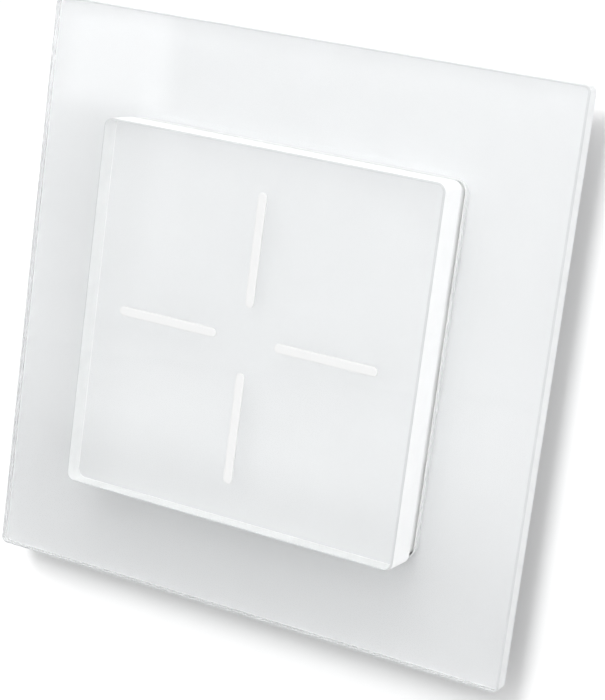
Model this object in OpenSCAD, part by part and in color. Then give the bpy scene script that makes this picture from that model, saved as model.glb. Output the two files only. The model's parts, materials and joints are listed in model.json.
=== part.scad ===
// Flush wall touch switch: a glass frame, a plug-on glass touch unit and a relay insert for a round box.
// Millimetres. X to the right, Z up, Y into the wall. Y = 0 is the face of the wall.

/* [Frame] */
// Side of the square glass frame
frame_w = 86; // [82:0.5:92]
// Face of the wall to the front of the frame glass
frame_depth = 6.5; // [6.2:0.1:8]
// Thickness of the frame glass
frame_glass_t = 2.5; // [2:0.1:2.8]
// Corner radius of the frame glass, in the front view
frame_corner_r = 1; // [0.8:0.1:4]
// Thickness of the white backing of both glasses
film_t = 0.2; // [0.1:0.05:0.4]
// How far the backing stops short of the glass edge
film_margin = 0.4; // [0.2:0.1:1]
// Front plate of the moulded frame carrier
frame_plate_t = 1.3; // [1:0.1:1.6]
// Outer wall of the moulded frame carrier
frame_wall = 1.4; // [1:0.1:2]

/* [Touch unit] */
// Side of the square touch glass
touch_w = 55; // [53:0.5:57]
// How far the touch glass stands in front of the frame glass
touch_proud = 7.3; // [6.9:0.1:9]
// Thickness of the touch glass
touch_glass_t = 5.5; // [4:0.1:6]
// Corner radius of the touch glass, in the front view
touch_corner_r = 1.3; // [0.8:0.1:3]
// Bevel along the edges of both glasses
glass_bevel = 0.4; // [0.2:0.05:0.6]
// How far the glass reaches beyond its carrier
touch_lip = 0.6; // [0.4:0.1:1]
// Side wall of the touch carrier
touch_wall = 1.5; // [1.2:0.1:2]
// Front plate of the touch carrier
touch_plate_t = 1; // [0.8:0.1:1.2]

/* [Touch marks] */
// Length of each stroke
mark_len = 16.5; // [12:0.5:18]
// Width of each stroke
mark_w = 1.4; // [1:0.1:2]
// Middle of the glass to the near end of a stroke
mark_start = 4.8; // [3:0.1:6]
// Depth of the enamel in the glass
mark_depth = 0.3; // [0.2:0.05:0.5]

/* [Sensor board] */
// Thickness of the sensor board
sensor_t = 1; // [0.8:0.1:1.2]
// Gap between the touch carrier and the sensor board
sensor_gap = 0.3; // [0.2:0.05:0.4]
// Side of each corner electrode
pad_w = 16; // [12:0.5:16]
// Thickness of an electrode
pad_t = 0.1; // [0.05:0.05:0.15]
// Thickness of the back cover of the touch unit
cover_t = 1.2; // [1:0.1:1.4]

/* [Plug] */
// Pin pitch of the plug
plug_pitch = 2.54; // [2:0.02:2.54]
// Pins in each of the two rows
plug_rows = 4; // [3:1:5]
// Side of a square pin
pin_w = 0.64; // [0.5:0.02:0.7]
// Length of a pin inside the socket
pin_reach = 6; // [4:0.5:6.5]

/* [Support ring] */
// Side of the square support ring
ring_w = 71; // [69:0.5:73]
// Thickness of the support ring
ring_t = 1.2; // [1:0.1:1.5]
// Corner radius of the support ring
ring_corner_r = 8; // [5:0.5:10]
// Distance between two opposite box screws
box_pitch = 60; // [58:0.5:62]
// Width of a box screw slot
slot_w = 3.6; // [3.2:0.1:4]
// Length of a box screw slot
slot_len = 5; // [4.4:0.1:5.4]

/* [Insert] */
// Outer radius of the insert housing
cup_r = 26; // [25:0.5:27]
// Half width of the insert housing across its flats
cup_x = 18.6; // [18:0.1:19.2]
// Depth of the insert housing behind the wall face
cup_depth = 24; // [23.8:0.1:28]
// Wall of the insert housing
cup_wall = 1.4; // [1.2:0.1:1.5]
// Thickness of the lid
lid_t = 1.4; // [1.2:0.1:1.8]
// Wall face to the front of the power board
power_y = 5.6; // [5:0.1:6]
// Thickness of the power board
power_t = 1.6; // [1.2:0.1:1.8]
// Shank radius of the housing screws
fix_r = 1.1; // [0.9:0.05:1.2]
// Reach of the housing screws into the housing
fix_len = 4.5; // [3.5:0.1:4.5]

/* [Claws] */
// Width of a claw
claw_w = 9; // [8:0.5:10]
// Sheet thickness of a claw
claw_t = 1.2; // [1:0.1:1.4]
// Length of a claw from its pivot to its foot
claw_len = 18; // [16:0.5:19]
// Radius of the pivot pin
claw_pin_r = 0.8; // [0.7:0.05:0.9]
// Half of the swing of a claw, in degrees
claw_half = 14; // [10:1:15]
// Shank radius of a claw screw
claw_screw_r = 1.45; // [1.3:0.05:1.5]
// Length of a claw screw below its head
claw_screw_len = 14; // [12:0.5:15]

/* [Relay] */
// Width of the relay
relay_w = 10.2; // [10:0.1:10.4]
// Wall of the relay cover
relay_wall = 0.7; // [0.5:0.05:0.8]
// Swing of the armature, in degrees
relay_swing = 5; // [3:0.5:5]

/* [Terminals] */
// Pitch of the three terminals
pole_pitch = 7; // [6.6:0.1:7.4]
// Radius of a wire entry
wire_r = 1.6; // [1.3:0.05:1.7]
// Shank radius of a terminal screw
pole_screw_r = 1.2; // [1:0.05:1.3]
// Travel of a terminal clamp
clamp_travel = 2.5; // [2:0.1:2.5]

/* [Fits] */
// Gap between two parts that slide past each other
slide_gap = 0.3; // [0.2:0.05:0.4]
// Radial gap between a pin and the eye that turns on it
turn_gap = 0.05; // [0.03:0.01:0.08]
// Gap between two parts that are pushed together and stay so
seat_gap = 0.05; // [0.03:0.01:0.1]

/* [Hidden] */
$fn = 64;

// Levels along Y, from the front to the back
frame_y0 = -frame_depth;
frame_y1 = frame_y0 + frame_glass_t;
carrier_y0 = frame_y1 + film_t;
touch_y0 = frame_y0 - touch_proud;
touch_y1 = touch_y0 + touch_glass_t;
tray_y0 = touch_y1 + film_t;
screw_head_h = 1.6;
cover_y1 = -ring_t - screw_head_h - 0.5;
cover_y0 = cover_y1 - cover_t;
sensor_y0 = tray_y0 + touch_plate_t + sensor_gap;
sensor_y1 = sensor_y0 + sensor_t;
power_y1 = power_y + power_t;
floor_y = cup_depth - cup_wall;

// Outlines in the front view
tray_w = touch_w - 2 * touch_lip;
opening_w = tray_w + 2 * slide_gap;
opening_r = touch_corner_r + slide_gap;
tray_inner_w = tray_w - 2 * touch_wall;
ring_gap = 0.6;
cavity_w = ring_w + 2 * ring_gap;
carrier_w = cavity_w + 2 * frame_wall;
cup_in_r = cup_r - cup_wall;
cup_in_x = cup_x - cup_wall;
fix_x = 7;
fix_z = cup_r - 3.4;
fix_head_r = 2.1;
lid_z = fix_z - fix_head_r - 0.15;
spring_x = cup_x + 3.5;
spring_z = 15;
spring_w = 6;
spring_t = 0.5;

// Plug and socket
plug_w = 2 * plug_pitch + 0.1;
plug_h = plug_rows * plug_pitch + 0.1;
plug_z = lid_z - plug_h / 2 - 2.72;
socket_y0 = cover_y1 + 0.4;

// Claw pivot and screw
pivot_x = cup_x + 2.3;
pivot_y = 3;
eye_r = 1.7;
claw_screw_x = pivot_x + 3.55;
claw_slot_r = claw_screw_r + 0.25;
lug_t = 1;
lug_z = claw_w / 2 + slide_gap;

// Terminals, measured from the back of the housing
pole_z = 8.1 - cup_r;
block_z0 = pole_z - 4.9;
block_z1 = pole_z + 4.6;
cage_w = 5;
cage_wall = 0.9;
cage_room = cage_w + 0.5;
cage_floor_t = 1.2;
seat_y = cup_depth - 1.75;
room_y1 = seat_y - 0.6;
cage_y1 = room_y1 - clamp_travel - 0.15;
cage_roof_y0 = cage_y1 - 1.5;
cage_y0 = cage_roof_y0 - 6.5;
room_y0 = cage_y0 - 0.5;
bar_t = 0.8;
bar_y0 = cage_roof_y0 - 2;
bar_y1 = bar_y0 + bar_t;
bar_z = block_z1 + 0.1;
wire_y = cage_y0 + cage_floor_t + wire_r + 0.1;

// Rows of parts on the power board: the upper row stands under the lid's edge
upper_z = lid_z - 5.75;
post_z = upper_z - 1.6;
varistor_r = 4.3;
varistor_t = 3.6;
varistor_z0 = upper_z - 2.4;

// Relay: its length fills the room between the bars and the varistor, its height the room under the floor
relay_x = relay_w / 2 + 1.6 - cup_in_x;
relay_z0 = bar_z + 4.2;
relay_l = varistor_z0 - 2.6 - relay_z0;
relay_h = floor_y - power_y1 - 0.4;
relay_y1 = power_y1 + relay_h;
relay_k = relay_l / 18.6;
coil_k = min(relay_k, relay_w / 10.2);
coil_z = relay_z0 + 7.5 * relay_k;
base_y1 = power_y1 + 1.6;
yoke_t = 1.2;
bobbin_y0 = base_y1 + yoke_t;
bobbin_y1 = relay_y1 - 4.2;
pole_y1 = bobbin_y1 + 0.6;
arm_t = 1;
arm_y = pole_y1 + seat_gap + arm_t / 2;
arm_z = coil_z - 5 * relay_k;
leaf_t = 0.25;
contact_z = arm_z + 12.3 * relay_k;
contact_y = pole_y1 + 0.2;

// Supply parts, fitted between the relay, the bars and the walls
tall_h = relay_h - 3;
film_x1 = cup_in_x - 3.7;
film_x0 = film_x1 - 7;
smooth_x = (relay_x + relay_w / 2 + film_x0) / 2;
smooth_r = smooth_x - relay_x - relay_w / 2 - 1.95;
fuse_r = 3.3;
fuse_x = cup_in_x - 7.2;
varistor_x = relay_x + 1.5;
choke_x = (varistor_x + varistor_r + fuse_x - fuse_r) / 2;
choke_r = choke_x - varistor_x - varistor_r - 1.7;
smooth_gap = (upper_z - choke_r - bar_z - bar_t - 4 * smooth_r) / 3;

// A front-view outline made into a slab between two levels
module slab(y0, y1) {
  translate([0, y1, 0])
    rotate([90, 0, 0])
      linear_extrude(y1 - y0)
        children();
}

// A round rod into the wall, at x and z
module rod(x, z, y0, y1, r) {
  translate([x, y1, z])
    rotate([90, 0, 0])
      cylinder(h = y1 - y0, r = r);
}

// A rod that changes radius from r0 at the front to r1 at the back
module taper(x, z, y0, y1, r0, r1) {
  translate([x, y1, z])
    rotate([90, 0, 0])
      cylinder(h = y1 - y0, r1 = r1, r2 = r0);
}

// A box between two corners
module box(a, b) {
  translate(a)
    cube(b - a);
}

// A side profile, drawn in Y and Z, run along X
module along_x(x0, x1) {
  translate([x0, 0, 0])
    rotate([90, 0, 90])
      linear_extrude(x1 - x0)
        children();
}

// A plan profile, drawn in X and Y, run along Z
module along_z(z0, z1) {
  translate([0, 0, z0])
    linear_extrude(z1 - z0)
      children();
}

// A rectangle with round corners
module round_rect(w, h, r) {
  square([w - 2 * r, h], center = true);
  square([w, h - 2 * r], center = true);
  for (x = [-1, 1], z = [-1, 1])
    translate([x * (w / 2 - r), z * (h / 2 - r)])
      circle(r);
}

// A slot with round ends, along the first axis
module stadium(len, w) {
  square([len - w, w], center = true);
  for (s = [-1, 1])
    translate([s * (len - w) / 2, 0])
      circle(w / 2);
}

// The sloping band of a bevelled square: side w - 2 c at level ya and side w at level yb
module bevel_band(w, r, ya, yb, c) {
  s = [[ya, c - w / 2], [ya, w / 2 - c], [yb, w / 2], [yb, -w / 2]];
  along_x(r - w / 2, w / 2 - r)
    polygon(s);
  along_z(r - w / 2, w / 2 - r)
    polygon([for (p = s) [p[1], p[0]]]);
  for (x = [-1, 1], z = [-1, 1])
    if (ya < yb)
      taper(x * (w / 2 - r), z * (w / 2 - r), ya, yb, r - c, r);
    else
      taper(x * (w / 2 - r), z * (w / 2 - r), yb, ya, r, r - c);
}

// A square glass plate with round corners and bevelled edges
module bevel_plate(w, r, y0, y1, c) {
  bevel_band(w, r, y0, y0 + c, c);
  slab(y0 + c, y1 - c)
    round_rect(w, w, r);
  bevel_band(w, r, y1, y1 - c, c);
}

// A pan-head screw from the front: head from y0, shank to y1, with a cross slot in the head
module screw(x, z, y0, y1, r, head_r, head_h) {
  difference() {
    union() {
      rod(x, z, y0, y0 + head_h, head_r);
      rod(x, z, y0 + head_h, y1 - r, r);
      taper(x, z, y1 - r, y1, r, r * 0.3);
    }
    translate([x, y0 + head_h * 0.25, z])
      for (a = [0, 90])
        rotate([0, a, 0])
          cube([head_r * 1.3, head_h * 0.6, r * 0.5], center = true);
  }
}

module frame_glass() {
  color([0.86, 0.92, 0.9, 0.4])
    difference() {
      bevel_plate(frame_w, frame_corner_r, frame_y0, frame_y1, glass_bevel);
      slab(frame_y0 - 1, frame_y1 + 1)
        round_rect(opening_w, opening_w, opening_r);
      bevel_band(opening_w + 2 * glass_bevel, opening_r + glass_bevel,
        frame_y0 + glass_bevel, frame_y0, glass_bevel);
    }
}

module frame_film() {
  w = frame_w - 2 * film_margin;
  color("white")
    slab(frame_y1, carrier_y0)
      difference() {
        round_rect(w, w, frame_corner_r - film_margin / 2);
        round_rect(opening_w, opening_w, opening_r);
      }
}

// The carrier: plate, outer skirt to the wall, broken collar on the ring, corner posts and grip ribs
module frame_carrier() {
  post = (opening_w + cavity_w) / 4;
  collar_w = opening_w + 2.4;
  collar_gap = 2 * (fix_x + fix_head_r + slide_gap);
  color([0.93, 0.93, 0.92]) {
    slab(carrier_y0, carrier_y0 + frame_plate_t)
      difference() {
        round_rect(carrier_w, carrier_w, 3);
        round_rect(opening_w, opening_w, opening_r);
      }
    slab(carrier_y0, 0)
      difference() {
        round_rect(carrier_w, carrier_w, 3);
        round_rect(cavity_w, cavity_w, 3 - frame_wall / 2);
      }
    slab(carrier_y0, -ring_t)
      difference() {
        round_rect(collar_w, collar_w, opening_r + 1.2);
        round_rect(opening_w, opening_w, opening_r);
        square([collar_w + 2, collar_gap], center = true);
        square([collar_gap, collar_w + 2], center = true);
      }
    for (x = [-1, 1], z = [-1, 1])
      rod(x * post, z * post, carrier_y0, -ring_t, 2);
    for (a = [0 : 90 : 270], z = [-18, 18])
      rotate([0, a, 0])
        box([ring_w / 2 + seat_gap, -ring_t, z - 0.6], [cavity_w / 2 + 0.2, 0, z + 0.6]);
  }
}

// Plan of one stroke of the open cross
module mark_plan(grow) {
  for (a = [0 : 90 : 270])
    rotate(a)
      translate([mark_start + mark_len / 2, 0])
        stadium(mark_len + 2 * grow, mark_w + 2 * grow);
}

module touch_glass() {
  color([0.86, 0.92, 0.9, 0.4])
    difference() {
      bevel_plate(touch_w, touch_corner_r, touch_y0, touch_y1, glass_bevel);
      slab(touch_y0 - 1, touch_y0 + mark_depth)
        mark_plan(0.02);
    }
}

module touch_marks() {
  color("white")
    slab(touch_y0, touch_y0 + mark_depth)
      mark_plan(0);
}

module touch_film() {
  w = touch_w - 2 * film_margin;
  color("white")
    slab(touch_y1, tray_y0)
      round_rect(w, w, touch_corner_r - film_margin / 2);
}

// The tray behind the block, open at the back, with rests for the board
module touch_carrier() {
  rest = tray_inner_w / 2 - 4;
  color([0.93, 0.93, 0.92]) {
    slab(tray_y0, tray_y0 + touch_plate_t)
      round_rect(tray_w, tray_w, touch_corner_r);
    slab(tray_y0, cover_y1)
      difference() {
        round_rect(tray_w, tray_w, touch_corner_r);
        square(tray_inner_w, center = true);
      }
    for (x = [-1, 1], z = [-1, 1])
      rod(x * rest, z * rest, tray_y0, sensor_y0, 1.6);
  }
}

// Pin positions of the plug, two columns
module at_pins() {
  for (i = [0, 1], j = [0 : plug_rows - 1])
    translate([(i - 0.5) * plug_pitch, 0, plug_z + (j - (plug_rows - 1) / 2) * plug_pitch])
      children();
}

module sensor_board() {
  w = tray_inner_w - 2 * slide_gap;
  color([0.05, 0.32, 0.2])
    difference() {
      slab(sensor_y0, sensor_y1)
        square(w, center = true);
      at_pins()
        rod(0, 0, sensor_y0 - 1, sensor_y1 + 1, pin_w * 0.8);
    }
}

// Four corner electrodes and a round one in the middle, clear of the board rests
module touch_pads() {
  c = tray_inner_w / 4 + 1.5;
  rest = tray_inner_w / 2 - 4;
  color([0.8, 0.5, 0.25])
    slab(sensor_y0 - pad_t, sensor_y0) {
      circle(4.5);
      for (x = [-1, 1], z = [-1, 1])
        difference() {
          translate([x * c, z * c])
            round_rect(pad_w, pad_w, 2);
          translate([x * rest, z * rest])
            circle(2.2);
        }
    }
}

module touch_controller() {
  color([0.08, 0.08, 0.09])
    difference() {
      box([-3, sensor_y1, -9], [3, sensor_y1 + 0.9, -3]);
      rod(-2.2, -3.8, sensor_y1 + 0.8, sensor_y1 + 1, 0.35);
    }
}

module sensor_passives() {
  color([0.55, 0.45, 0.33])
    for (i = [0 : 4]) {
      box([6 + 2.6 * i, sensor_y1, -8.4], [6.8 + 2.6 * i, sensor_y1 + 0.5, -6.8]);
      box([-6.8 - 2.6 * i, sensor_y1, -4.4], [-6 - 2.6 * i, sensor_y1 + 0.5, -2.8]);
    }
}

module plug_body() {
  color([0.1, 0.1, 0.1])
    difference() {
      box([-plug_w / 2, sensor_y1, plug_z - plug_h / 2], [plug_w / 2, cover_y1, plug_z + plug_h / 2]);
      at_pins()
        box([-0.5, -50, -0.5] * (pin_w + 2 * seat_gap) + [0, -50, 0],
          [0.5, 50, 0.5] * (pin_w + 2 * seat_gap) + [0, 50, 0]);
    }
}

module plug_pins() {
  color([0.85, 0.7, 0.35])
    at_pins()
      box([-pin_w / 2, sensor_y0, -pin_w / 2], [pin_w / 2, socket_y0 + pin_reach, pin_w / 2]);
}

// Back of the touch unit: board presses, ring stand-offs and stakes for the springs
module sensor_cover() {
  w = tray_inner_w - 2 * seat_gap;
  press = tray_inner_w / 2 - 4;
  color([0.2, 0.2, 0.21]) {
    slab(cover_y0, cover_y1)
      difference() {
        square(w, center = true);
        translate([0, plug_z])
          square([plug_w + 2 * slide_gap, plug_h + 2 * slide_gap], center = true);
      }
    for (x = [-1, 1], z = [-1, 1]) {
      rod(x * press, z * press, sensor_y1, cover_y0, 1.4);
      rod(x * press, z * press, cover_y1, -ring_t, 1.8);
      rod(x * (spring_x - 5.4), z * spring_z, cover_y1, cover_y1 + spring_t + 0.3, 0.9);
    }
  }
}

// Four bowed leaf springs: a staked foot and a leg that bears on the edge of a ring window
module grip_springs() {
  t = spring_t;
  y = cover_y1;
  tip = spring_x - seat_gap;
  bow = -ring_t / 2;
  path = [[tip - 0.7, y], [tip, bow], [tip - 0.7, 2.4], [tip - 1.2, 3.4]];
  far = [[tip - 1.2 - t, 3.4], [tip - 0.7 - t, 2.4], [tip - t, bow], [tip - 0.7 - t, y]];
  color([0.72, 0.72, 0.7])
    for (x = [0, 1], z = [-1, 1])
      mirror([x, 0, 0])
        difference() {
          along_z(z * spring_z - spring_w / 2, z * spring_z + spring_w / 2)
            union() {
              polygon(concat(path, far));
              translate([tip - 7.4, y])
                square([6.7, t]);
            }
          rod(spring_x - 5.4, z * spring_z, y - 1, y + 2, 0.9 + seat_gap);
        }
}

// Outline shared by the ring opening, the lid and the housing: a circle cut by two flats
module cut_disc(r, x, z = 100) {
  intersection() {
    circle(r);
    square([2 * x, 2 * z], center = true);
  }
}

// The pressed ring: box slots, claw screw holes, spring windows and the four bent lugs
module support_ring() {
  color([0.68, 0.7, 0.72])
    difference() {
      union() {
        slab(-ring_t, 0)
          difference() {
            round_rect(ring_w, ring_w, ring_corner_r);
            cut_disc(cup_r - 3.5, cup_x - 0.6, lid_z - 0.5);
            for (x = [-1, 1])
              translate([x * box_pitch / 2, 0])
                stadium(slot_len, slot_w);
            for (z = [-1, 1])
              translate([0, z * box_pitch / 2])
                rotate(90)
                  stadium(slot_len, slot_w);
            for (x = [-1, 1])
              translate([x * claw_screw_x, 0])
                circle(claw_screw_r + 0.2);
            for (x = [-1, 1], z = [-1, 1]) {
              translate([x * (spring_x - 1.2), z * spring_z])
                square([2.4, spring_w + 0.6], center = true);
              translate([x * fix_x, z * fix_z])
                circle(fix_r + 0.15);
              translate([x * (ring_w / 2 - 5), z * (ring_w / 2 - 12)])
                circle(1.5);
            }
          }
        for (s = [0, 1], z = [lug_z, -lug_z - lug_t])
          mirror([s, 0, 0])
            along_z(z, z + lug_t)
              union() {
                translate([pivot_x - 2, -ring_t / 2])
                  square([4, pivot_y + ring_t / 2]);
                translate([pivot_x, pivot_y])
                  circle(2);
              }
      }
      for (x = [-1, 1])
        translate([x * pivot_x, pivot_y, -20])
          cylinder(h = 40, r = claw_pin_r);
    }
}

module claw_pins() {
  z = lug_z + lug_t + 0.3;
  color([0.75, 0.75, 0.76])
    for (x = [-1, 1])
      translate([x * pivot_x, pivot_y, -z])
        cylinder(h = 2 * z, r = claw_pin_r);
}

// One claw, right-hand side: an eye, a slotted leg with a toothed foot, and the short arm for the screw
module claw() {
  leg_y = pivot_y + claw_len;
  reach = claw_screw_x - pivot_x;
  arm_len = reach + claw_slot_r + 0.25 + 1;
  difference() {
    union() {
      along_z(-claw_w / 2, claw_w / 2)
        union() {
          translate([pivot_x, pivot_y])
            circle(eye_r);
          translate([pivot_x - eye_r + 0.05, pivot_y])
            square([claw_t, claw_len]);
          polygon([[pivot_x - eye_r + 0.05, leg_y - claw_t], [pivot_x + 2.5, leg_y - claw_t],
            [pivot_x + 4.4, leg_y - 2.2], [pivot_x + 3.2, leg_y], [pivot_x - eye_r + 0.05, leg_y]]);
          translate([pivot_x, pivot_y])
            rotate(claw_half)
              translate([0, -claw_t / 2])
                square([arm_len, claw_t]);
        }
    }
    translate([pivot_x, pivot_y, -20])
      cylinder(h = 40, r = claw_pin_r + turn_gap);
    // The slot that lets the leg swing past the screw
    box([pivot_x - 4, pivot_y + eye_r + 0.6, -claw_screw_r - 0.65],
      [pivot_x + 0.6, leg_y - 4, claw_screw_r + 0.65]);
    // The hole in the short arm
    translate([pivot_x, pivot_y, 0])
      rotate([0, 0, claw_half])
        translate([reach, 5, 0])
          rotate([90, 0, 0])
            linear_extrude(10)
              stadium(2 * claw_slot_r + 0.5, 2 * claw_slot_r);
    // Notches between the teeth of the foot
    for (z = [-claw_w / 3.2, 0, claw_w / 3.2])
      box([pivot_x + 2.4, leg_y - 3, z - 0.7], [pivot_x + 6, leg_y + 1, z + 0.7]);
  }
}

module right_claw() {
  color([0.66, 0.66, 0.62])
    claw();
}

module left_claw() {
  color([0.66, 0.66, 0.62])
    mirror([1, 0, 0])
      claw();
}

module claw_screw(x) {
  screw(x, 0, -ring_t - screw_head_h, claw_screw_len - ring_t, claw_screw_r, 2.6, screw_head_h);
}

module right_claw_screw() {
  color([0.78, 0.72, 0.5])
    claw_screw(claw_screw_x);
}

module left_claw_screw() {
  color([0.78, 0.72, 0.5])
    claw_screw(-claw_screw_x);
}

// Places of the four housing screws, given as x and z
fix_at = [for (x = [-fix_x, fix_x], z = [-fix_z, fix_z]) [x, z]];

// The cup behind the ring: bosses for its screws, posts for the board, vents and the gap for the terminals
module insert_housing() {
  half = 1.5 * pole_pitch + 0.1;
  color([0.82, 0.82, 0.8])
    difference() {
      union() {
        difference() {
          intersection() {
            union() {
              rod(0, 0, 0, cup_depth - 1.2, cup_r);
              taper(0, 0, cup_depth - 1.2, cup_depth, cup_r, cup_r - 1.2);
            }
            slab(0, cup_depth)
              square([2 * cup_x, 2 * cup_r], center = true);
          }
          slab(-1, floor_y)
            cut_disc(cup_in_r, cup_in_x);
        }
        intersection() {
          union()
            for (p = fix_at)
              rod(p[0], p[1], 0, fix_len + 2, fix_head_r);
          slab(0, cup_depth)
            cut_disc(cup_r, cup_x);
        }
        for (x = [-1, 1], z = [-1, 1])
          rod(x * (cup_in_x - 1.5), z * post_z, power_y1, floor_y + 0.1, 1.5);
      }
      for (p = fix_at)
        rod(p[0], p[1], -1, fix_len + 0.5, fix_r);
      box([-half, power_y1 - 0.1, -40], [half, cup_depth + 1, block_z1 + 0.1]);
      for (x = [-8 : 4 : 8])
        translate([x, cup_depth, 10])
          rotate([90, 90, 0])
            linear_extrude(10, center = true)
              stadium(11, 1.4);
    }
}

// The lid: trapped behind the ring, raised through its opening, with legs down to the board
module insert_lid() {
  color([0.85, 0.85, 0.83])
    difference() {
      union() {
        slab(0, lid_t)
          cut_disc(cup_in_r - 0.2, cup_in_x - 0.15, lid_z);
        slab(-ring_t + 0.2, 0)
          cut_disc(cup_r - 3.5 - slide_gap, cup_x - 0.6 - slide_gap, lid_z - 0.5 - slide_gap);
        for (x = [-1, 1], z = [-1, 1])
          rod(x * (cup_in_x - 2), z * post_z, lid_t, power_y, 1.3);
      }
      translate([0, 0, plug_z])
        cube([plug_w + 2 * slide_gap, 20, plug_h + 2 * slide_gap], center = true);
    }
}

module housing_screws() {
  color([0.75, 0.75, 0.76])
    for (p = fix_at)
      screw(p[0], p[1], -ring_t - 1.2, fix_len, fix_r, fix_head_r, 1.2);
}

module power_board() {
  color([0.1, 0.36, 0.16])
    slab(power_y, power_y1)
      cut_disc(cup_in_r - 0.3, cup_in_x - 0.3, lid_z - 0.25);
}

module board_socket() {
  color([0.1, 0.1, 0.1])
    difference() {
      box([-plug_w / 2, socket_y0, plug_z - plug_h / 2], [plug_w / 2, power_y, plug_z + plug_h / 2]);
      at_pins()
        box([-0.5, 0, -0.5] * (pin_w + 0.3) + [0, socket_y0 - 1, 0],
          [0.5, 0, 0.5] * (pin_w + 0.3) + [0, socket_y0 + pin_reach + 0.5, 0]);
    }
}

// Inside of the relay cover, in the front view
relay_in_w = relay_w - 2 * relay_wall;
relay_in_l = relay_l - 2 * relay_wall;
relay_mid_z = relay_z0 + relay_l / 2;

module relay_base() {
  w = relay_in_w / 2 - seat_gap;
  l = relay_in_l / 2 - seat_gap;
  color([0.12, 0.12, 0.13])
    box([relay_x - w, power_y1, relay_mid_z - l], [relay_x + w, base_y1, relay_mid_z + l]);
}

module relay_cover() {
  color([0.15, 0.3, 0.55, 0.7])
    difference() {
      box([relay_x - relay_w / 2, power_y1, relay_z0],
        [relay_x + relay_w / 2, relay_y1, relay_z0 + relay_l]);
      box([relay_x - relay_in_w / 2, power_y1 - 1, relay_mid_z - relay_in_l / 2],
        [relay_x + relay_in_w / 2, relay_y1 - relay_wall, relay_mid_z + relay_in_l / 2]);
    }
}

// An angle: a foot under the coil and a leg with a round seat for the armature
module relay_yoke() {
  z0 = arm_z - yoke_t / 2;
  color([0.7, 0.7, 0.68])
    difference() {
      union() {
        box([relay_x - 3.2, base_y1, z0], [relay_x + 3.2, bobbin_y0, coil_z + 2.5 * relay_k]);
        box([relay_x - 3.2, base_y1, z0], [relay_x + 3.2, arm_y - 0.3, z0 + yoke_t]);
      }
      translate([relay_x - 5, arm_y, arm_z])
        rotate([0, 90, 0])
          cylinder(h = 10, r = arm_t / 2 + turn_gap);
      box([relay_x - 5, arm_y - arm_t / 2 - 0.15, arm_z], [relay_x + 5, arm_y + 1, arm_z + 5]);
    }
}

module relay_core() {
  color([0.6, 0.6, 0.6]) {
    rod(relay_x, coil_z, bobbin_y0, bobbin_y1, 1.4 * coil_k);
    rod(relay_x, coil_z, bobbin_y1, pole_y1, 2.4 * coil_k);
  }
}

module relay_bobbin() {
  color([0.9, 0.85, 0.7])
    difference() {
      union() {
        rod(relay_x, coil_z, bobbin_y0, bobbin_y1, 2 * coil_k);
        for (y = [bobbin_y0, bobbin_y1 - 0.8])
          box([relay_x - 3.8 * coil_k, y, coil_z - 3.8 * coil_k],
            [relay_x + 3.8 * coil_k, y + 0.8, coil_z + 3.8 * coil_k]);
      }
      rod(relay_x, coil_z, bobbin_y0 - 1, bobbin_y1 + 1, 1.4 * coil_k + seat_gap);
    }
}

module relay_coil() {
  color([0.75, 0.4, 0.2])
    difference() {
      rod(relay_x, coil_z, bobbin_y0 + 0.8, bobbin_y1 - 0.8, 3.5 * coil_k);
      rod(relay_x, coil_z, bobbin_y0, bobbin_y1, 2 * coil_k);
    }
}

// The fixed contact: a blade on the base, a tab and a round contact
module relay_contacts() {
  z1 = contact_z + 2 * relay_k;
  color([0.8, 0.6, 0.35]) {
    box([relay_x - 1.6, base_y1, z1 - 0.6], [relay_x + 1.6, contact_y - 0.6, z1]);
    box([relay_x - 1.6, contact_y - 1.2, contact_z - 1.4 * relay_k], [relay_x + 1.6, contact_y - 0.6, z1]);
    rod(relay_x, contact_z, contact_y - 0.6, contact_y, 1.1);
  }
}

// Turns the closed armature open about its round edge
module relay_open() {
  translate([0, arm_y, arm_z])
    rotate([-relay_swing, 0, 0])
      translate([0, -arm_y, -arm_z])
        children();
}

module relay_armature() {
  y0 = arm_y - arm_t / 2;
  color([0.62, 0.62, 0.62])
    relay_open() {
      translate([relay_x - 3, arm_y, arm_z])
        rotate([0, 90, 0])
          cylinder(h = 6, r = arm_t / 2);
      box([relay_x - 3, y0, arm_z], [relay_x + 3, y0 + arm_t, coil_z + 3.6 * relay_k]);
    }
}

// The moving contact leaf, riveted to the back of the armature
module relay_leaf() {
  y0 = arm_y + arm_t / 2;
  color([0.82, 0.62, 0.36])
    relay_open() {
      box([relay_x - 2, y0, arm_z + 2], [relay_x + 2, y0 + leaf_t, contact_z + 1.4 * relay_k]);
      rod(relay_x, contact_z, contact_y + seat_gap, y0, 1.1);
    }
}

module film_capacitor() {
  color([0.75, 0.68, 0.2])
    box([film_x0, power_y1, relay_z0 + 0.5], [film_x1, power_y1 + tall_h, relay_z0 + relay_l - 1.1]);
}

// Two cans in line, each with a pressed rim
module smoothing_capacitors() {
  color([0.15, 0.17, 0.22])
    for (z = [bar_z + bar_t + smooth_gap + smooth_r, upper_z - choke_r - smooth_gap - smooth_r])
      difference() {
        rod(smooth_x, z, power_y1, power_y1 + tall_h, smooth_r);
        rod(smooth_x, z, power_y1 + tall_h - 0.3, power_y1 + tall_h + 1, smooth_r - 0.6);
      }
}

// A disc on edge, with the dipped foot that carries its leads
module varistor() {
  foot = varistor_r - 1.3;
  color([0.2, 0.35, 0.6]) {
    translate([varistor_x, power_y1 + varistor_r + 0.9, varistor_z0])
      cylinder(h = varistor_t, r = varistor_r);
    box([varistor_x - foot, power_y1, varistor_z0 + 0.5],
      [varistor_x + foot, power_y1 + foot, varistor_z0 + varistor_t - 0.5]);
  }
}

module fuse() {
  color([0.15, 0.12, 0.1])
    rod(fuse_x, upper_z - 0.4, power_y1, power_y1 + tall_h - 4, fuse_r);
}

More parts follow.
